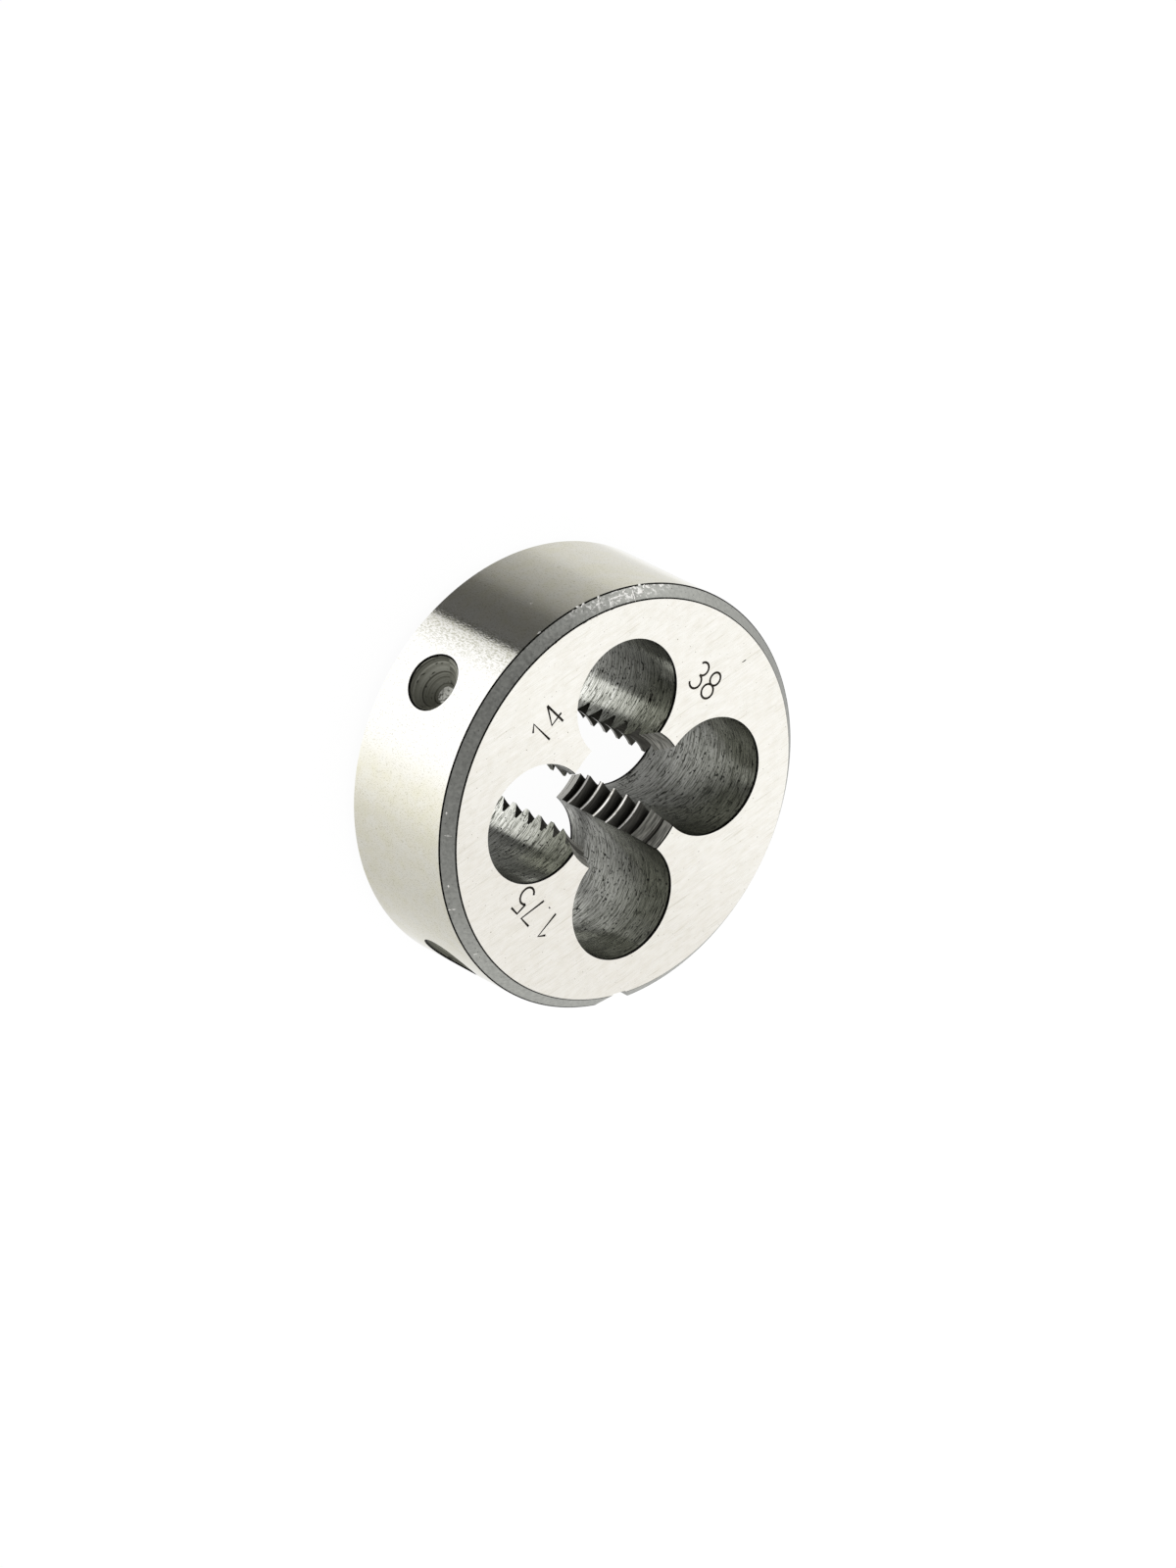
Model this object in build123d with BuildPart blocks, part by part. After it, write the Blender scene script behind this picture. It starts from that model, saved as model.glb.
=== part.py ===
from build123d import *
import math
import os

# Round threading die for a right-hand coarse thread 12 mm across, in millimetres.
# The thread runs along Z. The back face lies on Z = 0 and the marked face is up.
# One chip hole and the adjusting groove in the rim point towards -Y.

# Blank
outside_diameter = 38.0
thickness = 14.0
rim_chamfer = 1.1

# Thread that the die cuts
thread_diameter = 12.0
thread_pitch = 1.75
thread_angle = 60.0
# Depth of the teeth, and width of the groove's floor, as shares of the pitch
tooth_depth_ratio = 0.5413
groove_floor_ratio = 0.125
# The groove is cut this much deeper than the outside of the finished screw.
root_clearance = 0.05
# Height above the back face at which the groove crosses the +X side
groove_phase = 1.0

# Tapered lead at each end of the thread. Its mouth is this much wider than the thread, all round.
lead_mouth_margin = 0.5
lead_length = 2.65

# Chip holes round the thread, each reaching in past the tooth crests by the opening
chip_hole_count = 4
chip_hole_diameter = 10.65
chip_hole_opening = 1.12

# Adjusting groove along the rim, with a narrow flat floor
notch_depth = 1.22
notch_floor_width = 1.24
notch_angle = 90.0

# Conical dimples in the rim for the screws of the holder, in two mirrored pairs.
# Each pair has its angle from the adjusting groove, and its height from mid thickness.
dimple_diameter = 5.4
dimple_floor_diameter = 1.6
dimple_depth = 2.1
near_pair_angle = 43.3
near_pair_rise = 0.1
far_pair_angle = 127.7
far_pair_rise = -0.6
# The far pair is not quite square to the rim: its floors lean towards the adjusting groove.
far_pair_lean = 4.4

# Radii that follow from the sizes above
outside_radius = outside_diameter / 2
thread_radius = thread_diameter / 2
root_radius = thread_radius + root_clearance
crest_radius = thread_radius - tooth_depth_ratio * thread_pitch
lead_mouth_radius = thread_radius + lead_mouth_margin
chip_hole_radius = chip_hole_diameter / 2
chip_circle_radius = crest_radius + chip_hole_radius - chip_hole_opening
notch_direction = -90.0

# The thread cutter is a row of ridges with the groove's section. It starts inside the
# tooth crests, and runs past both faces, so that it cuts clean through.
cutter_radius = crest_radius - 0.1
ridge_height = root_radius - cutter_radius
ridge_count = math.ceil(thickness / thread_pitch) + 3
ridge_floor_width = groove_floor_ratio * thread_pitch
ridge_base_width = ridge_floor_width + 2 * (thread_radius - cutter_radius) * math.tan(
    math.radians(thread_angle / 2)
)

# Only the lands between the chip holes carry teeth. Each land is cut by one turn of the
# cutter that starts and ends inside its two chip holes.
land_spacing = 360 / chip_hole_count
mouth_half_angle = math.degrees(
    math.acos(
        (chip_circle_radius**2 + crest_radius**2 - chip_hole_radius**2)
        / (2 * chip_circle_radius * crest_radius)
    )
)
cutter_angle = land_spacing - mouth_half_angle

with BuildPart() as land_cutter:
    with BuildLine() as cutter_path:
        Helix(
            pitch=thread_pitch,
            height=thread_pitch * cutter_angle / 360,
            radius=root_radius,
        )
    with BuildSketch(Plane.XZ):
        with Locations(
            *[
                (cutter_radius, groove_phase + (ridge - 2) * thread_pitch)
                for ridge in range(ridge_count)
            ]
        ):
            Trapezoid(
                width=ridge_base_width,
                height=ridge_height,
                left_side_angle=90 - thread_angle / 2,
                rotation=-90,
                align=(Align.CENTER, Align.MIN),
            )
    sweep(path=cutter_path.line, is_frenet=True)

with BuildPart() as threading_die:
    # Ground disc with both rims chamfered
    with BuildSketch():
        Circle(outside_radius)
    extrude(amount=thickness)
    chamfer(threading_die.edges().filter_by(GeomType.CIRCLE), length=rim_chamfer)

    # Bore to the tooth crests, with the tapered lead at each end
    lead_angle = 2 * math.degrees(math.atan((lead_mouth_radius - crest_radius) / lead_length))
    with Locations(Location((0, 0, thickness)), Location((0, 0, 0), (180, 0, 0))):
        CounterSinkHole(
            radius=crest_radius,
            counter_sink_radius=lead_mouth_radius,
            counter_sink_angle=lead_angle,
        )

    # Chip holes, which open into the bore and leave the lands between them
    with Locations(Location((0, 0, thickness))):
        with PolarLocations(chip_circle_radius, chip_hole_count):
            Hole(chip_hole_radius)

    # Thread teeth on the lands, all on one right-hand helix
    for land in range(chip_hole_count):
        turn = (land + 0.5) * land_spacing - cutter_angle / 2
        with Locations(Location((0, 0, turn / 360 * thread_pitch), (0, 0, turn))):
            add(land_cutter.part, mode=Mode.SUBTRACT)

    # Adjusting groove in line with one chip hole
    with BuildSketch():
        with Locations((0, notch_depth - outside_radius)):
            Trapezoid(
                width=notch_floor_width + 4 * notch_depth * math.tan(math.radians(notch_angle / 2)),
                height=2 * notch_depth,
                left_side_angle=90 - notch_angle / 2,
                align=(Align.CENTER, Align.MAX),
            )
    extrude(amount=thickness, mode=Mode.SUBTRACT)

    # Screw dimples. Their cutter is a cone twice as tall as they are deep, so that it runs
    # past the curved rim on every side.
    for angle, rise, lean in (
        (near_pair_angle, near_pair_rise, 0),
        (far_pair_angle, far_pair_rise, far_pair_lean),
    ):
        for side in (-1, 1):
            outward = Vector(1, 0, 0).rotate(Axis.Z, notch_direction + side * angle)
            mouth_centre = outward * outside_radius + Vector(0, 0, thickness / 2 + rise)
            cone_axis = outward.rotate(Axis.Z, side * lean)
            floor_centre = mouth_centre - cone_axis * dimple_depth
            with Locations(Plane(origin=floor_centre, z_dir=cone_axis)):
                Cone(
                    bottom_radius=dimple_floor_diameter / 2,
                    top_radius=dimple_diameter - dimple_floor_diameter / 2,
                    height=2 * dimple_depth,
                    align=(Align.CENTER, Align.CENTER, Align.MIN),
                    mode=Mode.SUBTRACT,
                )

threading_die.part.label = "threading_die"

os.makedirs("parts", exist_ok=True)
export_step(threading_die.part, "parts/threading_die.step")
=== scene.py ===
import math
import random

import bmesh
import bpy
from mathutils import Matrix, Quaternion, Vector


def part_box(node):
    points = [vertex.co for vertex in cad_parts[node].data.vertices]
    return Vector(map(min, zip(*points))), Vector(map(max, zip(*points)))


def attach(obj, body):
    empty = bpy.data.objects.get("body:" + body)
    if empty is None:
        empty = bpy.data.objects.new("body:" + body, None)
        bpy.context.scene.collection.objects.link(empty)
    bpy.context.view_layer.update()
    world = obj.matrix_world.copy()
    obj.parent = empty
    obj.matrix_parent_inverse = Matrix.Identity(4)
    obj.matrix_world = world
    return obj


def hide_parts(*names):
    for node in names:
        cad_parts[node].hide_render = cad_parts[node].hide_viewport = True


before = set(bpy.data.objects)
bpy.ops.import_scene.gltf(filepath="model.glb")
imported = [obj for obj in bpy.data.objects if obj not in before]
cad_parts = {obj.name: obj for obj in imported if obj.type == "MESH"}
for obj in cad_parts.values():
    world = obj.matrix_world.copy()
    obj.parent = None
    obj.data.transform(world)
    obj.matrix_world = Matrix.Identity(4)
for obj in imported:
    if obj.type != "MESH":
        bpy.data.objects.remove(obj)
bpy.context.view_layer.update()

# Round threading die, dressed. It lies on its back face with the marked face up.
# Sizes are in millimetres until the finished piece is scaled to metres.
metre = 0.001
low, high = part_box("threading_die")
outside_radius = (high.x - low.x) / 2 / metre
thickness = (high.z - low.z) / metre

# Blank, with a dark line of this width along its edges: painted shade where a real edge is rounded
rim_chamfer = 1.1
edge_line = 0.11
rim_steps = 720

# Direction of the grinding lines on both faces, in degrees from +X
grinding_turn = 20

# Thread and its tapered leads
thread_radius = 6.0
thread_pitch = 1.75
flank_angle = math.radians(30)
tooth_depth_ratio = 0.5413
groove_floor_ratio = 0.125
root_clearance = 0.05
groove_phase = 1.0
root_radius = thread_radius + root_clearance
crest_radius = thread_radius - tooth_depth_ratio * thread_pitch
lead_mouth_radius = thread_radius + 0.5
lead_length = 2.65
thread_steps = 144

# Chip holes, a little wider where they break through the faces
chip_hole_count = 4
chip_hole_radius = 5.325
chip_hole_opening = 1.12
chip_circle_radius = crest_radius + chip_hole_radius - chip_hole_opening
chip_hole_flare = 0.03
chip_hole_line = 0.30
chip_hole_steps = 176

# Adjusting groove
notch_depth = 1.22
notch_floor_width = 1.24
notch_direction = math.radians(-90)

# Screw dimples: angle from the adjusting groove, height above mid thickness, and lean of the axis
dimple_radius = 2.7
dimple_floor_radius = 0.8
dimple_depth = 2.1
dimple_slope = (dimple_radius - dimple_floor_radius) / dimple_depth
mouth_line_radius = 0.11
mouth_settling_rounds = 8
dimple_steps = 112
dimple_places = [(43.3, 0.1, 0), (-43.3, 0.1, 0), (127.7, -0.6, 4.4), (-127.7, -0.6, -4.4)]

# Engraved figures: cap height, width, gap as a share of the height, stroke width, and each number
# with its angle round the face
figure_height = 2.5
figure_width = 1.25
figure_gap = 0.2
stroke_width = 0.21
figure_circle_radius = 12.35
numbers = [("38", 47.0), ("14", 134.0), ("1.75", 221.0)]

# Knocks on the marked side: angle round the die, reach outwards from the face's edge, length,
# width, turn from the way round, and finish. A reach below zero is on the face. Each corner of a
# dent is pushed in or out by a random share.
nick_depth = 0.028
nick_raggedness = (0.85, 1.5)
nicks = [
    (78.9, 1.25, 0.40, 0.20, -30, "scuff"), (82.0, 1.21, 0.50, 0.22, -20, "scuff"),
    (80.6, 1.38, 0.30, 0.16, 20, "scuff"), (83.2, 1.33, 0.34, 0.18, 40, "scuff"),
    (84.4, 1.50, 0.32, 0.20, 10, "scuff"), (84.7, 0.86, 0.62, 0.26, 15, "scuff"),
    (87.4, 0.80, 1.10, 0.17, 82, "scuff"), (88.2, 0.60, 0.40, 0.24, 60, "scuff"),
    (86.3, 1.30, 0.40, 0.20, -15, "scuff"), (90.0, 1.18, 0.44, 0.18, 30, "scuff"),
    (92.9, 0.86, 2.00, 0.18, 1, "scuff"), (92.6, 0.56, 0.60, 0.28, 20, "scuff"),
    (93.8, 0.42, 0.50, 0.26, -30, "scuff"), (95.0, 0.52, 0.52, 0.26, 10, "scuff"),
    (97.8, 1.43, 0.34, 0.20, 70, "scuff"), (99.0, 0.86, 0.46, 0.19, -10, "scuff"),
    (100.4, 1.37, 0.52, 0.20, 25, "scuff"), (101.7, 1.22, 0.60, 0.20, -20, "scuff"),
    (103.2, 1.36, 0.52, 0.20, 30, "scuff"), (104.5, 1.43, 0.40, 0.19, -45, "scuff"),
    (101.6, 0.88, 0.40, 0.18, -40, "scuff"), (98.4, 1.12, 0.36, 0.18, 35, "scuff"),
    (106.4, 1.36, 0.34, 0.16, 20, "scuff"), (117.4, 1.62, 0.30, 0.18, 0, "scuff"),
    (110.4, 5.45, 0.20, 0.16, 0, "scuff"), (171.1, 1.10, 0.22, 0.10, 0, "scuff"),
    (177.1, 0.80, 0.60, 0.07, 88, "scuff"), (191.7, 0.93, 0.24, 0.11, 0, "scuff"),
    (198.9, 1.10, 0.52, 0.11, 85, "scuff"), (213.0, 1.00, 0.50, 0.10, -55, "scuff"),
    (215.3, 0.93, 0.32, 0.09, 80, "scuff"), (96.1, 0.03, 0.36, 0.16, 0, "edge"),
    (105.5, 0.02, 0.50, 0.24, 0, "edge"), (116.0, 0.02, 0.32, 0.15, 0, "edge"),
    (37.9, -1.89, 0.36, 0.11, 70, "edge"), (34.1, -1.40, 0.30, 0.10, 60, "edge"),
    (72.8, -1.76, 0.14, 0.12, 0, "edge"), (41.6, -4.10, 0.16, 0.13, 0, "edge"),
]
chance = random.Random(38)

# Cutters run this far past what they cut. The thread's starts this far inside its crests, and this
# many turns below the back face.
overrun = 1.0
crest_overlap = 0.1
spare_turns = 3

# Points of a turned shape that are closer than this become one.
merge_distance = edge_line / 100

# Edges with a smaller turn than this are shaded smooth.
sharp_turn = math.radians(18)

# Sockets of a Mix node for colours, by number because their names repeat
share_in = 0
first_in = 6
second_in = 7
colour_out = 2

# Noise stays mostly between these values.
noise_middle = (0.3, 0.7)


def linear(value):
    """One sRGB channel, 0 to 1, as linear light."""
    return value / 12.92 if value <= 0.04045 else ((value + 0.055) / 1.055) ** 2.4


def colour(code):
    """An sRGB hex colour as a linear colour with alpha."""
    return tuple(linear(int(code[at:at + 2], 16) / 255) for at in (1, 3, 5)) + (1.0,)


def per_metre(millimetres):
    """Pattern scale for Object coordinates, from the pattern's real size."""
    return 1 / (millimetres * metre)


def add(owner, kind, inputs=None, stops=(), **settings):
    """Adds a node to a material or the world, with its settings.

    Inputs hold values, or output sockets to link, by socket. The stops of a colour ramp are
    positions, each with its linear colour.
    """
    tree = owner.node_tree
    node = tree.nodes.new(kind)
    for name, value in settings.items():
        setattr(node, name, value)
    for socket, value in (inputs or {}).items():
        if isinstance(value, bpy.types.NodeSocket):
            tree.links.new(value, node.inputs[socket])
        else:
            node.inputs[socket].default_value = value
    if stops:
        elements = node.color_ramp.elements
        for element, (position, shade) in zip((elements[0], elements[1]), (stops[0], stops[-1])):
            element.position = position
            element.color = shade
        for position, shade in stops[1:-1]:
            elements.new(position).color = shade
    return node


def blank_material(name):
    """A material with no nodes yet."""
    material = bpy.data.materials.new(name)
    material.use_nodes = True
    material.node_tree.nodes.clear()
    return material


def grain(material, size, turn=0.0, detail=2.0, distortion=0.0, seed=0.0, source="Object"):
    """Noise with a real size in millimetres along X, Y and Z, turned about Z by some degrees."""
    place = add(material, "ShaderNodeTexCoord")
    turned_place = add(material, "ShaderNodeMapping",
                       {"Vector": place.outputs[source], "Rotation": (0, 0, -math.radians(turn))})
    stretched = add(material, "ShaderNodeMapping",
                    {"Vector": turned_place.outputs["Vector"], "Location": (seed, seed, seed),
                     "Scale": tuple(per_metre(length) for length in size)})
    return add(material, "ShaderNodeTexNoise",
               {"Vector": stretched.outputs["Vector"], "Scale": 1.0, "Detail": detail,
                "Distortion": distortion}).outputs["Fac"]


def along(material, direction, start, end):
    """Runs from 0 to 1 between two distances, in millimetres, along a direction."""
    place = add(material, "ShaderNodeTexCoord").outputs["Object"]
    reached = add(material, "ShaderNodeVectorMath", {0: place, 1: direction},
                  operation="DOT_PRODUCT").outputs["Value"]
    return add(material, "ShaderNodeMapRange",
               {"Value": reached, "From Min": start * metre, "From Max": end * metre}).outputs["Result"]


def shades(material, *layers, over=None):
    """Multiplies layers of colour. Each layer is a pattern and its stops, as (position, hex colour)."""
    result = over
    for pattern, *stops in layers:
        layer = add(material, "ShaderNodeValToRGB", {"Fac": pattern},
                    stops=[(position, colour(code)) for position, code in stops]).outputs["Color"]
        if result is None:
            result = layer
        else:
            result = add(material, "ShaderNodeMix", {share_in: 1.0, first_in: result, second_in: layer},
                         data_type="RGBA", blend_type="MULTIPLY").outputs[colour_out]
    return result


def steel(material, tone, roughness, *reliefs, metallic=1.0):
    """Ends a bare steel finish: metallic, with the default IOR.

    The roughness is a number, or (pattern, low, high) where it follows the middle of a noise. Each
    relief is (pattern, depth in millimetres), and they are stacked.
    """
    if isinstance(roughness, tuple):
        pattern, smoothest, roughest = roughness
        roughness = add(material, "ShaderNodeMapRange",
                        {"Value": pattern, "From Min": noise_middle[0], "From Max": noise_middle[1],
                         "To Min": smoothest, "To Max": roughest}).outputs["Result"]
    inputs = {"Base Color": tone, "Metallic": metallic, "Roughness": roughness}
    for pattern, depth in reliefs:
        bump = {"Height": pattern, "Distance": depth * metre, "Strength": 1.0}
        if "Normal" in inputs:
            bump["Normal"] = inputs["Normal"]
        inputs["Normal"] = add(material, "ShaderNodeBump", bump).outputs["Normal"]
    shader = add(material, "ShaderNodeBsdfPrincipled", inputs)
    add(material, "ShaderNodeOutputMaterial", {"Surface": shader.outputs["BSDF"]})
    return material


def ground_face():
    """Surface-ground tool steel: near white and warm, with short faint lines all one way, and a little
    painted shade towards one edge.

    Real grinding lines are finer than the picture can show, so they are drawn 0.1 to 0.2 mm wide.
    """
    material = blank_material("surface_ground_steel")
    lines = grain(material, (1.6, 0.11, 0.11), turn=grinding_turn, detail=2)
    strokes = grain(material, (3.6, 0.20, 0.20), turn=grinding_turn, detail=1, seed=7)
    mottle = grain(material, (0.9, 0.6, 0.6), turn=grinding_turn, detail=3, seed=3)
    pits = grain(material, (0.20, 0.20, 0.20), detail=1, seed=11)
    # Painted shade: the face is drawn a little darker towards one edge of the die.
    side = along(material, (0.5, 0.87, 0), -9, 4)
    tone = shades(
        material,
        (lines, (0.30, "#EDEBE4"), (0.5, "#F3F1EA"), (0.7, "#F7F5F0")),
        (strokes, (0.24, "#EFEEEA"), (0.36, "#FFFFFF")),
        (mottle, (0.32, "#FAF9F7"), (0.60, "#FFFFFF")),
        (side, (0.0, "#F2F1F0"), (1.0, "#FFFFFF")),
        (pits, (0.73, "#FFFFFF"), (0.78, "#9A968E")),
    )
    return steel(material, tone, (lines, 0.26, 0.34), (lines, 0.0006), (mottle, 0.0004))


def ground_rim():
    """Cylindrically ground steel: close to a mirror, with flecks that make its reflections ragged.

    The real grain is finer than a hundredth of a millimetre, so it is drawn coarser to show. The rim
    is warm with a thin stain. Where it mirrors the bright studio it is left unstained and lighter, as
    painted highlight, and darker flecks on a strip next to that are painted shade where it mirrors the
    edge of the dark band.
    """
    material = blank_material("cylindrically_ground_steel")
    flecks = grain(material, (0.15, 0.15, 0.30), detail=2)
    fine = grain(material, (0.10, 0.10, 0.16), detail=1, seed=5)
    stain = grain(material, (1.3, 1.3, 1.3), detail=3, seed=8)
    stained = shades(material, (stain, (0.34, "#F0EDDA"), (0.5, "#F2EFE0"), (0.66, "#F3F1E5")))
    # Painted highlight: an unstained, lighter stretch where the rim mirrors the bright studio.
    painted_highlight_stretch = along(material, (-0.809, 0.588, 0), 17.2, 18.5)
    painted_highlight_tone = add(material, "ShaderNodeMix",
                {share_in: painted_highlight_stretch, first_in: stained, second_in: colour("#FCFBF8")},
                data_type="RGBA").outputs[colour_out]
    freckled = shades(material, (fine, (0.28, "#E2E1DA"), (0.46, "#FFFFFF")), over=painted_highlight_tone)
    flecked = shades(material, (flecks, (0.36, "#D2D2C8"), (0.56, "#FFFFFF")), over=freckled)
    # Painted shade: the flecks darken the rim only on the strip where it mirrors the edge of the dark band.
    painted_shade_strip = along(material, (-0.777, -0.629, 0), -2.2, 2.2)
    strip_side = along(material, (-0.629, 0.777, 0), 0, 1)
    painted_shade_mask = shades(
        material,
        (painted_shade_strip, (0.0, "#000000"), (0.12, "#FFFFFF"), (0.5, "#FFFFFF"), (1.0, "#000000")),
        (strip_side, (0.0, "#000000"), (1.0, "#FFFFFF")),
    )
    tone = add(material, "ShaderNodeMix",
               {share_in: painted_shade_mask, first_in: freckled, second_in: flecked},
               data_type="RGBA").outputs[colour_out]
    return steel(material, tone, (fine, 0.05, 0.09), (stain, 0.002), (flecks, 0.0036), (fine, 0.0009))


def turned_chamfer():
    """Lathe-turned chamfer still dark from hardening: matt grey with faint specks and tool lines.

    On one stretch the scale has been knocked off in chips, which shine nearly white. Its grey is
    painted lighter and darker round the die, as painted shade.
    """
    material = blank_material("hardening_scale_on_turned_steel")
    mottle = grain(material, (0.30, 0.30, 0.30), detail=3)
    lines = grain(material, (3.0, 3.0, 0.07), detail=2, seed=2)
    specks = grain(material, (0.15, 0.15, 0.15), detail=1, seed=9)
    chips = grain(material, (0.32, 0.32, 0.32), detail=2, seed=31)
    # Painted shade: the chamfer's grey is drawn lighter and darker round the die.
    painted_shade_round_chamfer = along(material, (-0.174, 0.985, 0), -9, 18.4)
    knocked_stretch = along(material, (-0.035, 0.999, 0), 17.7, 18.3)
    scaled = shades(
        material,
        (mottle, (0.3, "#BDBEB8"), (0.5, "#CFD0CA"), (0.72, "#E1E2DB")),
        (specks, (0.22, "#6A6A67"), (0.3, "#FFFFFF")),
        (painted_shade_round_chamfer, (0.0, "#D1D1D1"), (0.33, "#BCBCBC"), (0.55, "#BCBCBC"), (0.75, "#C2C2C2"),
         (0.84, "#C8C8C8"), (0.93, "#D8D8D8"), (1.0, "#EEEEEE")),
    )
    chipped = shades(
        material,
        (chips, (0.54, "#000000"), (0.60, "#FFFFFF")),
        (knocked_stretch, (0.0, "#000000"), (1.0, "#FFFFFF")),
    )
    tone = add(material, "ShaderNodeMix",
               {share_in: chipped, first_in: scaled, second_in: colour("#FFFEFA")},
               data_type="RGBA").outputs[colour_out]
    return steel(material, tone, (mottle, 0.42, 0.54), (lines, 0.002), (mottle, 0.004))


def painted_edge_shade():
    """Painted shade of a rounded edge: a thin, nearly black line."""
    material = blank_material("painted_dark_edge_shade")
    patches = grain(material, (0.4, 0.4, 0.4))
    return steel(material, shades(material, (patches, (0.4, "#0C0C0B"), (0.75, "#32322F"))), 0.45)


def scuffed_steel():
    """Steel laid bare where the scale was knocked off: bright and uneven."""
    material = blank_material("scuffed_bare_steel")
    dents = grain(material, (0.16, 0.16, 0.16), detail=2)
    tone = shades(material, (dents, (0.34, "#D4D2CC"), (0.5, "#FCFBF7")))
    return steel(material, tone, 0.5, (dents, 0.012))


def drilled_wall():
    """Drilled and hardened bore: ragged rings left by the drill, and darker towards the marked face.

    The drill's rings are drawn a little coarser than they are, so that they show.
    """
    material = blank_material("drilled_hardened_steel")
    rings = grain(material, (2.6, 2.6, 0.13), detail=2)
    coarse = grain(material, (2.6, 2.6, 0.5), detail=1, seed=4)
    tears = grain(material, (1.1, 1.1, 0.12), detail=1, seed=13)
    pits = grain(material, (0.26, 0.26, 0.20), detail=0, seed=21)
    torn = grain(material, (1.6, 1.6, 0.18), detail=1, distortion=0.2, seed=17)
    up_the_wall = along(material, (0, 0, 1), 2.5, 11)
    tone = shades(
        material,
        (rings, (0.34, "#B0B1A9"), (0.5, "#F0F1E9"), (0.64, "#FFFFFA")),
        (up_the_wall, (0.0, "#FFFFFF"), (1.0, "#A6A7A0")),
        (tears, (0.31, "#55564F"), (0.39, "#FFFFFF")),
        (torn, (0.475, "#FFFFFF"), (0.495, "#7E7F78"), (0.505, "#7E7F78"), (0.525, "#FFFFFF")),
        (pits, (0.23, "#2A2A28"), (0.30, "#FFFFFF")),
    )
    return steel(material, tone, (coarse, 0.14, 0.19), (coarse, 0.003), (rings, 0.008), (tears, 0.012))


def drilled_dimple():
    """Cone cut with a countersink: grey, slightly olive, with even rings round its middle.

    It is a little less metallic than the rest, because a dull film dims its reflections. It is painted
    darker towards the back face and on one half of the die, as painted shade.
    """
    material = blank_material("countersunk_steel")
    rings = grain(material, (30.0, 0.15, 1.0), detail=1, source="UV")
    torn = grain(material, (0.9, 0.22, 1.0), detail=1, seed=6, source="UV")
    # Painted shade: the cones are darker towards the back face and on one half of the die.
    painted_shade_up_the_cone = along(material, (0, 0, 1), 6.4, 8.6)
    painted_shade_across_the_cone = along(material, (0.616, 0.788, 0), -2.2, 1.8)
    tone = shades(
        material,
        (painted_shade_up_the_cone, (0.0, "#B4B4A9"), (1.0, "#FFFFF2")),
        (rings, (0.34, "#8A8A84"), (0.5, "#E6E6E3"), (0.62, "#FFFFFF")),
        (painted_shade_across_the_cone, (0.0, "#BEBEBA"), (1.0, "#FFFFFF")),
        (torn, (0.26, "#6A6A63"), (0.36, "#FFFFFF")),
    )
    return steel(material, tone, 0.55, (rings, 0.010), (torn, 0.01), metallic=0.7)


def thread_flank():
    """Thread grooves cut with a tap and blackened in hardening: nearly black."""
    material = blank_material("tapped_blackened_steel")
    lines = grain(material, (1.5, 1.5, 0.06), detail=2)
    tone = shades(material, (lines, (0.3, "#31302D"), (0.7, "#4E4D48")))
    return steel(material, tone, 0.42, (lines, 0.003))


def thread_crest():
    """Crests rubbed bright along their middle, and still dark beside the grooves."""
    material = blank_material("rubbed_thread_crest")
    place = add(material, "ShaderNodeTexCoord").outputs["Object"]
    way = add(material, "ShaderNodeSeparateXYZ", {"Vector": place})
    around = add(material, "ShaderNodeMath", {0: way.outputs["Y"], 1: way.outputs["X"]},
                 operation="ARCTAN2").outputs[0]
    turns = add(material, "ShaderNodeMath", {0: around, 1: 2 * math.pi}, operation="DIVIDE").outputs[0]
    pitches = add(material, "ShaderNodeMath",
                  {0: way.outputs["Z"], 1: 1 / (thread_pitch * metre), 2: -groove_phase / thread_pitch},
                  operation="MULTIPLY_ADD").outputs[0]
    phase = add(material, "ShaderNodeMath", {0: pitches, 1: turns}, operation="SUBTRACT").outputs[0]
    across = add(material, "ShaderNodeMath", {0: phase}, operation="FRACT").outputs[0]
    patches = grain(material, (0.8, 0.8, 0.8), detail=2)
    tone = shades(
        material,
        (across, (0.41, "#4A4843"), (0.455, "#FFFDF8"), (0.53, "#FFFDF8"), (0.575, "#4A4843")),
        (patches, (0.3, "#C8C6C0"), (0.5, "#FFFFFF")),
    )
    return steel(material, tone, 0.25)


def back_lead():
    """Lead cone in the back face, cut bright: bare steel with fine turning lines."""
    material = blank_material("turned_bright_steel")
    lines = grain(material, (2.0, 2.0, 0.08), detail=3)
    tone = shades(material, (lines, (0.3, "#D8D6CF"), (0.5, "#FFFEF9")))
    return steel(material, tone, 0.8, (lines, 0.003))


def marked_lead():
    """Lead cone in the marked face: darker than the crests, with lighter streaks round it."""
    material = blank_material("turned_darkened_steel")
    lines = grain(material, (1.4, 1.4, 0.13), detail=3, seed=1)
    tone = shades(material, (lines, (0.3, "#7C7B75"), (0.50, "#C0BFB8"), (0.68, "#F0EEE7")))
    return steel(material, tone, 0.48, (lines, 0.008))


def dimple_floor():
    """Flat left by the tip of the countersink: lighter and rougher than the cone."""
    material = blank_material("countersink_tip_flat")
    torn = grain(material, (0.25, 0.25, 0.25), detail=2, seed=5)
    tone = shades(material, (torn, (0.38, "#5E5E58"), (0.56, "#C2C2BB")))
    return steel(material, tone, 0.4, (torn, 0.02))


def engraved_line():
    """Etched stroke: the bottom of the groove is dark and dull."""
    material = blank_material("etched_dark_steel")
    patches = grain(material, (0.3, 0.3, 0.3))
    return steel(material, shades(material, (patches, (0.3, "#201D1A"), (0.7, "#4B463E"))), 0.6)


finishes = {
    "face": ground_face(),
    "rim": ground_rim(),
    "chamfer": turned_chamfer(),
    "edge": painted_edge_shade(),
    "scuff": scuffed_steel(),
    "wall": drilled_wall(),
    "dimple": drilled_dimple(),
    "tip": dimple_floor(),
    "flank": thread_flank(),
    "crest": thread_crest(),
    "mouth": back_lead(),
    "lead": marked_lead(),
    "stroke": engraved_line(),
}


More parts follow.
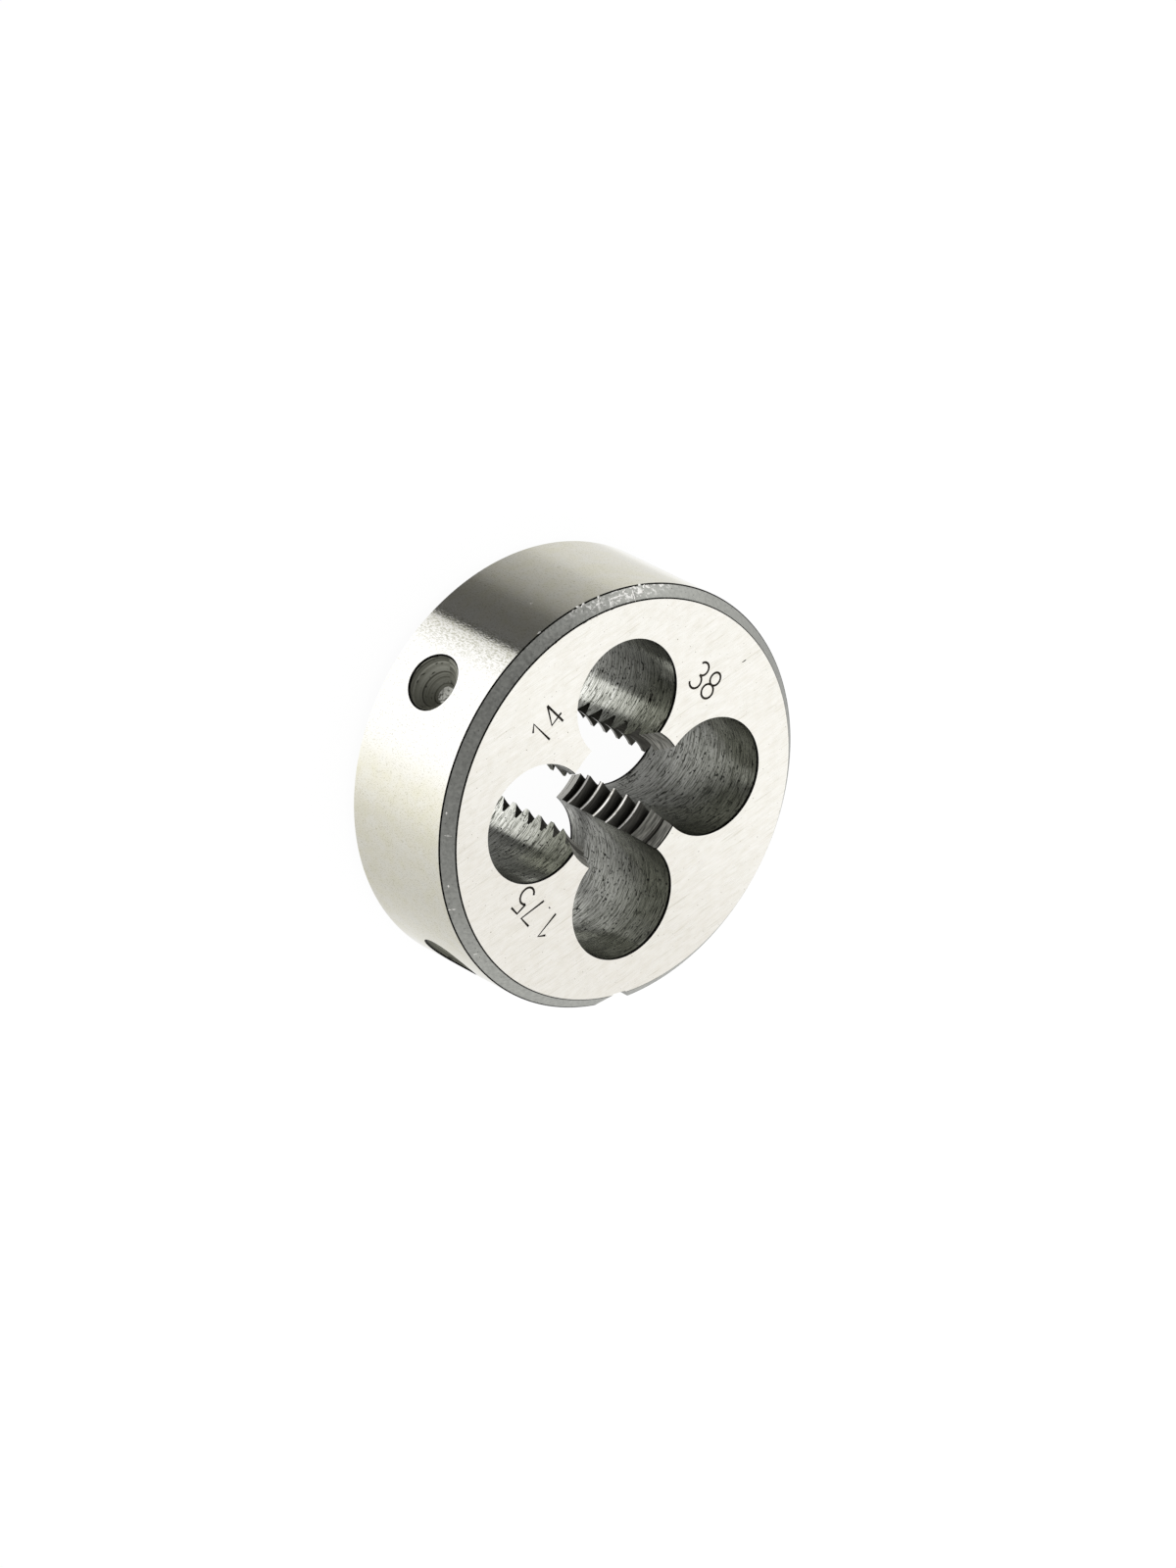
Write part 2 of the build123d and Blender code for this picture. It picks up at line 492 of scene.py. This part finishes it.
def finished(shape, name, slots):
    """Turns a bmesh into an object with the named finishes in its slots."""
    bmesh.ops.recalc_face_normals(shape, faces=shape.faces)
    mesh = bpy.data.meshes.new(name)
    shape.to_mesh(mesh)
    shape.free()
    for slot in slots:
        mesh.materials.append(finishes[slot])
    piece = bpy.data.objects.new(name, mesh)
    bpy.context.scene.collection.objects.link(piece)
    return piece


def turned(outline, slots, steps, closed=False):
    """Spins an outline round Z. Each point is (radius, height, finish of the line it starts)."""
    shape = bmesh.new()
    points = [shape.verts.new((radius, 0, height)) for radius, height, finish in outline]
    ends = points[1:] + points[:1] if closed else points[1:]
    lines = [shape.edges.new(pair) for pair in zip(points, ends)]
    middles = [((a.co + b.co) / 2, slots.index(finish))
               for a, b, (radius, height, finish) in zip(points, ends, outline)]
    bmesh.ops.spin(shape, geom=points + lines, cent=(0, 0, 0), axis=(0, 0, 1), dvec=(0, 0, 0),
                   angle=2 * math.pi, steps=steps, use_merge=True, use_duplicate=False)
    bmesh.ops.remove_doubles(shape, verts=shape.verts, dist=merge_distance)
    for face in shape.faces:
        centre = face.calc_center_median()
        flat = Vector((centre.xy.length, 0, centre.z))
        face.material_index = min(middles, key=lambda middle: (middle[0] - flat).length)[1]
    return shape


def blank():
    """Ground ring with the bore, both leads and both rim chamfers, with painted shade as dark lines along
    its edges.
    """
    slots = ["face", "rim", "chamfer", "edge", "crest", "lead", "mouth"]
    face_radius = outside_radius - rim_chamfer
    lead_slope = (lead_mouth_radius - crest_radius) / lead_length
    shape = turned(
        [
            (lead_mouth_radius, 0, "face"),
            (face_radius, 0, "edge"),
            (face_radius + edge_line, edge_line, "chamfer"),
            (outside_radius - edge_line, rim_chamfer - edge_line, "edge"),
            (outside_radius, rim_chamfer, "rim"),
            (outside_radius, thickness - rim_chamfer, "edge"),
            (outside_radius - edge_line, thickness - rim_chamfer + edge_line, "chamfer"),
            (face_radius + edge_line, thickness - edge_line, "edge"),
            (face_radius, thickness, "face"),
            (lead_mouth_radius, thickness, "edge"),
            (lead_mouth_radius - edge_line * lead_slope, thickness - edge_line, "lead"),
            (crest_radius, thickness - lead_length, "crest"),
            (crest_radius, lead_length, "mouth"),
        ],
        slots, rim_steps, closed=True,
    )
    return finished(shape, "threading_die_dressed", slots)


def thread_cutter():
    """Helical ridge with the groove's section. It runs past both faces."""
    inner_radius = crest_radius - crest_overlap
    half_floor = groove_floor_ratio * thread_pitch / 2
    half_base = half_floor + (thread_radius - inner_radius) * math.tan(flank_angle)
    turns = math.ceil(thickness / thread_pitch) + spare_turns + 1
    start = groove_phase - spare_turns * thread_pitch
    shape = bmesh.new()
    corners = [shape.verts.new((radius, 0, start + offset)) for radius, offset in (
        (inner_radius, -half_base), (root_radius, -half_floor),
        (root_radius, half_floor), (inner_radius, half_base))]
    lines = [shape.edges.new(pair) for pair in zip(corners, corners[1:] + corners[:1])]
    bmesh.ops.spin(shape, geom=corners + lines, cent=(0, 0, 0), axis=(0, 0, 1),
                   dvec=(0, 0, thread_pitch / thread_steps), angle=2 * math.pi * turns,
                   steps=thread_steps * turns, use_merge=False, use_duplicate=False)
    bmesh.ops.holes_fill(shape, edges=[edge for edge in shape.edges if edge.is_boundary], sides=0)
    bmesh.ops.triangulate(shape, faces=shape.faces)
    return finished(shape, "thread_cutter", ["flank"])


def chip_hole_cutter():
    """Four round cutters in a ring, each flared at both faces, with a dark line of painted shade round its
    edge.
    """
    slots = ["wall", "edge"]
    flare = chip_hole_flare * (1 + overrun / chip_hole_line)
    shape = turned(
        [
            (0, -overrun, "edge"),
            (chip_hole_radius + flare, -overrun, "edge"),
            (chip_hole_radius, chip_hole_line, "wall"),
            (chip_hole_radius, thickness - chip_hole_line, "edge"),
            (chip_hole_radius + flare, thickness + overrun, "edge"),
            (0, thickness + overrun, "edge"),
        ],
        slots, chip_hole_steps,
    )
    bmesh.ops.translate(shape, verts=shape.verts, vec=(chip_circle_radius, 0, 0))
    turn = 2 * math.pi / chip_hole_count
    bmesh.ops.spin(shape, geom=shape.verts[:] + shape.edges[:] + shape.faces[:], cent=(0, 0, 0),
                   axis=(0, 0, 1), dvec=(0, 0, 0), angle=turn * (chip_hole_count - 1),
                   steps=chip_hole_count - 1, use_merge=False, use_duplicate=True)
    return finished(shape, "chip_hole_cutter", slots)


def notch_cutter():
    """Prism with a flat floor and square flanks for the adjusting groove in the rim."""
    shape = bmesh.new()
    floor_at = outside_radius - notch_depth
    half_floor = notch_floor_width / 2
    reach = notch_depth + overrun
    corners = [shape.verts.new((out, across, -overrun)) for out, across in (
        (floor_at, -half_floor), (floor_at, half_floor),
        (floor_at + reach, half_floor + reach), (floor_at + reach, -half_floor - reach))]
    profile = shape.faces.new(corners)
    grown = bmesh.ops.extrude_face_region(shape, geom=[profile])["geom"]
    bmesh.ops.translate(shape, verts=[item for item in grown if isinstance(item, bmesh.types.BMVert)],
                        vec=(0, 0, thickness + 2 * overrun))
    bmesh.ops.rotate(shape, verts=shape.verts, cent=(0, 0, 0),
                     matrix=Matrix.Rotation(notch_direction, 3, "Z"))
    return finished(shape, "notch_cutter", ["chamfer"])


def dimple_frame(angle, rise, lean):
    """Place of a dimple on the rim, with local Z pointing out along its axis."""
    turn = notch_direction + math.radians(angle)
    centre = Vector((math.cos(turn), math.sin(turn), 0)) * outside_radius
    centre.z = thickness / 2 + rise
    axis = Vector((math.cos(turn + math.radians(lean)), math.sin(turn + math.radians(lean)), 0))
    return Matrix.Translation(centre) @ axis.to_track_quat("Z", "Y").to_matrix().to_4x4()


def dimple_cutter(place):
    """Blunt cone for one screw dimple."""
    slots = ["tip", "dimple"]
    shape = turned(
        [
            (0, -dimple_depth, "tip"),
            (dimple_floor_radius, -dimple_depth, "dimple"),
            (dimple_radius + dimple_slope * overrun, overrun, "dimple"),
            (0, overrun, "dimple"),
        ],
        slots, dimple_steps,
    )
    bmesh.ops.transform(shape, matrix=place, verts=shape.verts)
    return finished(shape, "dimple_cutter", slots)


def line_cutter(points, radius, finish, closed):
    """Thin round cutter along a line of points."""
    curve = bpy.data.curves.new("line", "CURVE")
    curve.dimensions = "3D"
    curve.bevel_depth = radius
    curve.bevel_resolution = 2
    curve.use_fill_caps = True
    spline = curve.splines.new("POLY")
    spline.use_cyclic_u = closed
    spline.points.add(len(points) - 1)
    for place, point in zip(spline.points, points):
        place.co = (*point, 1)
    line = bpy.data.objects.new("line", curve)
    bpy.context.scene.collection.objects.link(line)
    bpy.context.view_layer.update()
    shape = bmesh.new()
    shape.from_mesh(line.to_mesh())
    bmesh.ops.remove_doubles(shape, verts=shape.verts, dist=radius / 500)
    bpy.data.objects.remove(line)
    return finished(shape, "line_cutter", [finish])


def dimple_mouth_cutter(place):
    """Thin round cutter along a dimple's cone, just inside the line where it meets the rim, leaving a dark
    line of painted shade.
    """
    mouth = []
    for step in range(dimple_steps):
        around = 2 * math.pi * step / dimple_steps
        height = 0
        for settling in range(mouth_settling_rounds):
            reach = dimple_radius + dimple_slope * height
            point = place @ Vector((reach * math.cos(around), reach * math.sin(around), height))
            height -= point.xy.length - (outside_radius - mouth_line_radius / 2)
        mouth.append(point)
    return line_cutter(mouth, mouth_line_radius, "edge", True)


def arc(centre, radii, start, end, count=14):
    """Points along part of an ellipse, in degrees anticlockwise."""
    angles = [math.radians(start + (end - start) * at / (count - 1)) for at in range(count)]
    return [(centre[0] + radii[0] * math.cos(a), centre[1] + radii[1] * math.sin(a)) for a in angles]


# Single-line figures in a box half as wide as it is tall
figure_strokes = {
    "1": [[(0.06, 0.78), (0.30, 1.0), (0.30, 0.0)]],
    "3": [arc((0.24, 0.76), (0.23, 0.24), 150, -90), arc((0.24, 0.26), (0.26, 0.26), 90, -150)],
    "4": [[(0.38, 0.0), (0.38, 1.0)], [(0.38, 1.0), (0.0, 0.30), (0.54, 0.30)]],
    "5": [[(0.46, 1.0), (0.08, 1.0), (0.04, 0.56)], arc((0.23, 0.32), (0.27, 0.32), 132, -145)],
    "7": [[(0.0, 1.0), (0.50, 1.0), (0.18, 0.0)]],
    "8": [arc((0.26, 0.76), (0.22, 0.24), 0, 360, 24), arc((0.26, 0.26), (0.26, 0.26), 0, 360, 24)],
    ".": [[(0.0, 0.0), (0.0, 0.05)]],
}
figure_advance = {".": 0.22}


def number_cutters(text, angle):
    """Thin round-bottomed cutters for one number, its figures standing with their tops outwards."""
    advances = [figure_advance.get(figure, figure_width / figure_height + figure_gap) for figure in text]
    total = sum(advances[:-1]) + figure_width / figure_height
    turn = math.radians(angle)
    across = Vector((math.sin(turn), -math.cos(turn), 0))
    up = Vector((math.cos(turn), math.sin(turn), 0))
    cutters = []
    offset = -total / 2
    for figure, advance in zip(text, advances):
        for stroke in figure_strokes[figure]:
            closed = math.dist(stroke[0], stroke[-1]) < 0.001
            points = [
                (across * (offset + x) + up * (y - 0.5)) * figure_height
                + up * figure_circle_radius + Vector((0, 0, thickness))
                for x, y in (stroke[:-1] if closed else stroke)
            ]
            cutters.append(line_cutter(points, stroke_width / 2, "stroke", closed))
        offset += advance
    return cutters


def nick_cutter(angle, reach, length, width, turn, finish):
    """Ragged shallow dent. Its reach runs outwards from the marked face's edge, over the chamfer."""
    around = math.radians(angle)
    outward = Vector((math.cos(around), math.sin(around), 0))
    upward = Vector((0, 0, 1))
    centre = outward * (outside_radius - rim_chamfer) + upward * thickness
    chamfer_width = rim_chamfer * math.sqrt(2)
    if reach < 0:
        normal, centre = upward, centre + outward * reach
    elif reach < chamfer_width:
        normal = (outward + upward).normalized()
        centre += (outward - upward).normalized() * reach
    else:
        normal = outward
        centre += (outward - upward) * rim_chamfer - upward * (reach - chamfer_width)
    first = Quaternion(normal, math.radians(turn)) @ upward.cross(outward)
    basis = Matrix((first, normal.cross(first), normal)).transposed()
    shape = bmesh.new()
    bmesh.ops.create_icosphere(shape, subdivisions=2, radius=1.0)
    for vert in shape.verts:
        ragged = vert.co * chance.uniform(*nick_raggedness)
        dent = Vector((ragged.x * length / 2, ragged.y * width / 2, ragged.z * nick_depth))
        vert.co = centre + basis @ dent
    return finished(shape, "nick_cutter", [finish])


def carve(piece, cutters):
    """Cuts the cutters out of a piece, each cut face keeping its cutter's finish."""
    for cutter in cutters:
        modifier = piece.modifiers.new(cutter.name, "BOOLEAN")
        modifier.operation = "DIFFERENCE"
        modifier.solver = "EXACT"
        modifier.material_mode = "TRANSFER"
        modifier.object = cutter
    bpy.context.view_layer.update()
    carved = bpy.data.meshes.new_from_object(
        piece.evaluated_get(bpy.context.evaluated_depsgraph_get()))
    piece.modifiers.clear()
    piece.data = carved
    for cutter in cutters:
        bpy.data.objects.remove(cutter)


def lay_tool_rings(piece):
    """UV for the dimples' rings: X runs round the cone and Y runs along its axis, in metres."""
    slot = piece.data.materials.find(finishes["dimple"].name)
    frames = [dimple_frame(*place).inverted() for place in dimple_places]
    while piece.data.uv_layers:
        piece.data.uv_layers.remove(piece.data.uv_layers[0])
    rings = piece.data.uv_layers.new(name="tool_rings")
    for polygon in piece.data.polygons:
        if polygon.material_index == slot:
            nearest = min(frames, key=lambda place: (place @ polygon.center).length)
            for loop in polygon.loop_indices:
                local = nearest @ piece.data.vertices[piece.data.loops[loop].vertex_index].co
                around = math.atan2(local.y, local.x) * dimple_radius
                rings.data[loop].uv = (around * metre, local.z * metre)


def smooth_within_finishes(mesh):
    """Smooth shading, kept sharp at corners and wherever one finish meets another."""
    finishes_at = {}
    for polygon in mesh.polygons:
        polygon.use_smooth = True
        for key in polygon.edge_keys:
            finishes_at.setdefault(key, set()).add(polygon.material_index)
    mesh.set_sharp_from_angle(angle=sharp_turn)
    for edge in mesh.edges:
        if len(finishes_at[edge.key]) > 1:
            edge.use_edge_sharp = True


def threading_die():
    """The whole die as one mesh, cut in the order that the real one is made."""
    die = blank()
    carve(die, [thread_cutter()])
    carve(die, [chip_hole_cutter(), notch_cutter()])
    carve(die, [dimple_cutter(dimple_frame(*place)) for place in dimple_places])
    carve(die, [dimple_mouth_cutter(dimple_frame(*place)) for place in dimple_places])
    for text, angle in numbers:
        carve(die, number_cutters(text, angle))
    carve(die, [nick_cutter(*nick) for nick in nicks])
    lay_tool_rings(die)
    smooth_within_finishes(die.data)
    die.data.transform(Matrix.Scale(metre, 4))
    return die


die = threading_die()
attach(die, "root")
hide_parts("threading_die")

# Pale floor, which reaches this many metres from its middle. Most of what the camera sees of it is
# its own glow, and the rest keeps the soft shadow.
floor_reach = 3.0
floor_drop = 0.02 * metre
floor_glow = 1.03
floor_glow_share = 0.93


def studio_floor():
    """Pale floor: white to the camera, still keeping the die's soft shadow."""
    material = blank_material("white_card")
    seen = add(material, "ShaderNodeLightPath").outputs["Is Camera Ray"]
    share = add(material, "ShaderNodeMath", {0: seen, 1: floor_glow_share}, operation="MULTIPLY").outputs[0]
    card = add(material, "ShaderNodeBsdfDiffuse", {"Color": colour("#FFFFFF")})
    glow = add(material, "ShaderNodeEmission", {"Color": colour("#FFFFFF"), "Strength": floor_glow})
    mixed = add(material, "ShaderNodeMixShader",
                {0: share, 1: card.outputs["BSDF"], 2: glow.outputs["Emission"]})
    add(material, "ShaderNodeOutputMaterial", {"Surface": mixed.outputs["Shader"]})
    shape = bmesh.new()
    bmesh.ops.create_grid(shape, x_segments=1, y_segments=1, size=floor_reach)
    bmesh.ops.translate(shape, verts=shape.verts, vec=(0, 0, -floor_drop))
    mesh = bpy.data.meshes.new("floor")
    shape.to_mesh(mesh)
    shape.free()
    mesh.materials.append(material)
    floor = bpy.data.objects.new("floor", mesh)
    bpy.context.scene.collection.objects.link(floor)
    floor.visible_glossy = False


# Cards that only the die's metal sees, a painted shadow and a painted highlight: height above the back
# face, and brightness
shadow_card_height = -1.5
shadow_card_glow = 1.0
highlight_slip_height = 3.0
highlight_slip_glow = 1.2

# Darker ring of painted shadow on the shadow card, under the near chip hole
dark_ring_centre = Vector((3.2, -8.2, shadow_card_height)) * metre
dark_ring_reach = 4.6 * metre


def hidden_card(material, shade, strength, corners, height):
    """Flat glowing card at one height, seen only by the die's metal."""
    glow = add(material, "ShaderNodeEmission", {"Color": shade, "Strength": strength})
    add(material, "ShaderNodeOutputMaterial", {"Surface": glow.outputs["Emission"]})
    shape = bmesh.new()
    shape.faces.new([shape.verts.new((x, y, height)) for x, y in corners])
    bmesh.ops.scale(shape, verts=shape.verts, vec=(metre, metre, metre))
    mesh = bpy.data.meshes.new(material.name)
    shape.to_mesh(mesh)
    shape.free()
    mesh.materials.append(material)
    card = bpy.data.objects.new(material.name, mesh)
    bpy.context.scene.collection.objects.link(card)
    card.visible_camera = False
    card.visible_diffuse = False
    card.visible_shadow = False


def painted_shadow_card():
    """Card close under the die, a painted shadow of the die on the floor beneath: it darkens what the chip
    holes mirror.

    It leaves out the outer part of the left hole and a wedge under the far one, so that stretches of
    their walls mirror the bright studio instead.
    """
    material = blank_material("painted_shadow_card")
    across = along(material, (1, 0, 0), -10, 17)
    near = along(material, (0, 1, 0), -16, -9)
    far = along(material, (-0.48, 0.88, 0), -0.5, 10)
    place = add(material, "ShaderNodeTexCoord").outputs["Object"]
    off_centre = add(material, "ShaderNodeVectorMath", {0: place, 1: dark_ring_centre},
                     operation="DISTANCE").outputs["Value"]
    ring = add(material, "ShaderNodeMapRange",
               {"Value": off_centre, "From Max": dark_ring_reach}).outputs["Result"]
    shade = shades(
        material,
        (across, (0.0, "#9E9E9E"), (0.2, "#BCBCBC"), (0.32, "#BCBCBC"), (0.44, "#CCCCCC"), (0.5, "#CACACA"),
         (0.56, "#BCBCBC"), (0.67, "#AAAAAA"), (0.72, "#9A9A9A"), (0.78, "#808080"), (0.83, "#767676"),
         (1.0, "#747474")),
        (near, (0.0, "#B0B0B0"), (0.57, "#D9D9D9"), (1.0, "#FFFFFF")),
        (far, (0.0, "#FFFFFF"), (0.06, "#B4B4B4"), (0.23, "#A4A4A4"), (0.39, "#A8A8A8"), (0.49, "#A8A8A8"),
         (0.67, "#C2C2C2"), (0.88, "#BEBEBE"), (1.0, "#A0A0A0")),
        (ring, (0.0, "#F6F6F6"), (0.34, "#F6F6F6"), (0.42, "#DADADA"), (0.51, "#C2C2C2"), (0.57, "#9C9C9C"),
         (0.65, "#A8A8A8"), (0.8, "#E0E0E0"), (1.0, "#FFFFFF")),
    )
    hidden_card(material, shade, shadow_card_glow, [
        (-6.6, -6), (-10, -6), (-10, -15), (-6.5, -17), (8, -17), (17, -8), (17, 8), (6, 16),
        (-1.7, 16), (-1.5, 13.9), (0.1, 12.3), (1.3, 10.8), (2.4, 9.3), (3.3, 7.4),
        (-10, 12.7), (-10, 6.8), (-6.6, 6.8),
    ], shadow_card_height)


def crest_highlight_slip():
    """Small glowing white slip in the bore, seen only by the metal: painted highlight that the thread's
    rubbed crests mirror.
    """
    hidden_card(blank_material("crest_highlight_slip"), colour("#FFFFFF"), highlight_slip_glow,
                [(-1.6, 0.2), (2.7, -2.0), (2.7, 1.0), (0.2, 1.8), (-1.6, 1.8)], highlight_slip_height)


studio_floor()
painted_shadow_card()
crest_highlight_slip()

# Brightness of the studio by direction, in degrees round Z: below the horizon, mirrored by the
# rim, where one dark stretch makes the rim's dark band; and about the horizon, dark round the camera.
lower_studio = [
    (-180, 1.10), (-165, 1.00), (-145, 0.76), (-128, 0.68), (-105, 0.64), (-85, 0.69), (-53, 0.85),
    (-18, 0.97), (-5, 0.80), (10, 0.77), (27, 0.71), (35, 0.64), (43, 0.52), (59, 0.37), (65, 0.31),
    (77, 0.150), (86, 0.115), (102.6, 0.105), (103.8, 0.60), (106, 0.88), (112, 1.05),
    (120, 1.15), (180, 1.12),
]
level_studio = [
    (-180, 0.48), (-160, 0.58), (-140, 0.74), (-100, 1.05), (-35, 1.06), (20, 1.22), (48, 1.18),
    (62, 0.60), (78, 0.20), (100, 0.15), (120, 0.17), (140, 0.22), (160, 0.34), (180, 0.48),
]
overhead = 1.06
brightest = 1.25

# Heights at which one band gives way to the next, as sines of the elevation
level_rise = (-0.42, -0.12)
overhead_rise = (0.70, 0.96)


def studio_grey(value):
    """Linear grey for a brightness of the studio, as a share of the brightest."""
    share = value / brightest
    return (share, share, share, 1)


def studio_band(world, share, values):
    """Brightness of one band of the studio, by direction."""
    stops = [((angle + 180) / 360, studio_grey(value)) for angle, value in values]
    return add(world, "ShaderNodeValToRGB", {"Fac": share}, stops=stops).outputs["Color"]


def studio_world():
    """Soft studio all round, seen as plain white by the camera."""
    world = bpy.data.worlds.new("soft_studio")
    bpy.context.scene.world = world
    world.use_nodes = True
    world.node_tree.nodes.clear()
    way = add(world, "ShaderNodeSeparateXYZ",
              {"Vector": add(world, "ShaderNodeTexCoord").outputs["Generated"]})
    around = add(world, "ShaderNodeMath", {0: way.outputs["Y"], 1: way.outputs["X"]},
                 operation="ARCTAN2").outputs[0]
    share = add(world, "ShaderNodeMapRange",
                {"Value": around, "From Min": -math.pi, "From Max": math.pi}).outputs["Result"]
    studio = studio_band(world, share, lower_studio)
    for band, (bottom, top) in ((studio_band(world, share, level_studio), level_rise),
                                (studio_grey(overhead), overhead_rise)):
        height = add(world, "ShaderNodeMapRange",
                     {"Value": way.outputs["Z"], "From Min": bottom, "From Max": top},
                     interpolation_type="SMOOTHSTEP").outputs["Result"]
        studio = add(world, "ShaderNodeMix", {share_in: height, first_in: studio, second_in: band},
                     data_type="RGBA").outputs[colour_out]
    light = add(world, "ShaderNodeBackground", {"Color": studio, "Strength": brightest})
    white = add(world, "ShaderNodeBackground", {"Color": colour("#FFFFFF"), "Strength": 1.0})
    seen = add(world, "ShaderNodeLightPath").outputs["Is Camera Ray"]
    mixed = add(world, "ShaderNodeMixShader",
                {0: seen, 1: light.outputs["Background"], 2: white.outputs["Background"]})
    add(world, "ShaderNodeOutputWorld", {"Surface": mixed.outputs["Shader"]})


studio_world()

# Camera: direction from the die, distance and roll, and the point that its axis meets
camera_azimuth = math.radians(146.51)
camera_elevation = math.radians(46.28)
camera_roll = math.radians(117.03)
camera_distance = 855.33 * metre
camera_target = Vector((1.57, -1.26, 7.0)) * metre
focal_length_px = 10217
picture_height_px = 1600
sensor_width = 36.0


def photo_camera():
    """Long lens, looking down on the marked face from the photograph's side."""
    lens = bpy.data.cameras.new("photo_lens")
    lens.sensor_width = sensor_width
    lens.lens = focal_length_px / picture_height_px * sensor_width
    lens.clip_start = 0.01
    outward = Vector((
        math.cos(camera_elevation) * math.cos(camera_azimuth),
        math.cos(camera_elevation) * math.sin(camera_azimuth),
        math.sin(camera_elevation),
    ))
    camera = bpy.data.objects.new("photo_camera", lens)
    upright = (-outward).to_track_quat("-Z", "Y")
    camera.rotation_mode = "QUATERNION"
    camera.rotation_quaternion = upright @ Quaternion((0, 0, 1), camera_roll)
    camera.location = camera_target + outward * camera_distance
    bpy.context.scene.collection.objects.link(camera)
    bpy.context.scene.camera = camera


photo_camera()
bpy.context.scene.view_settings.view_transform = "Standard"
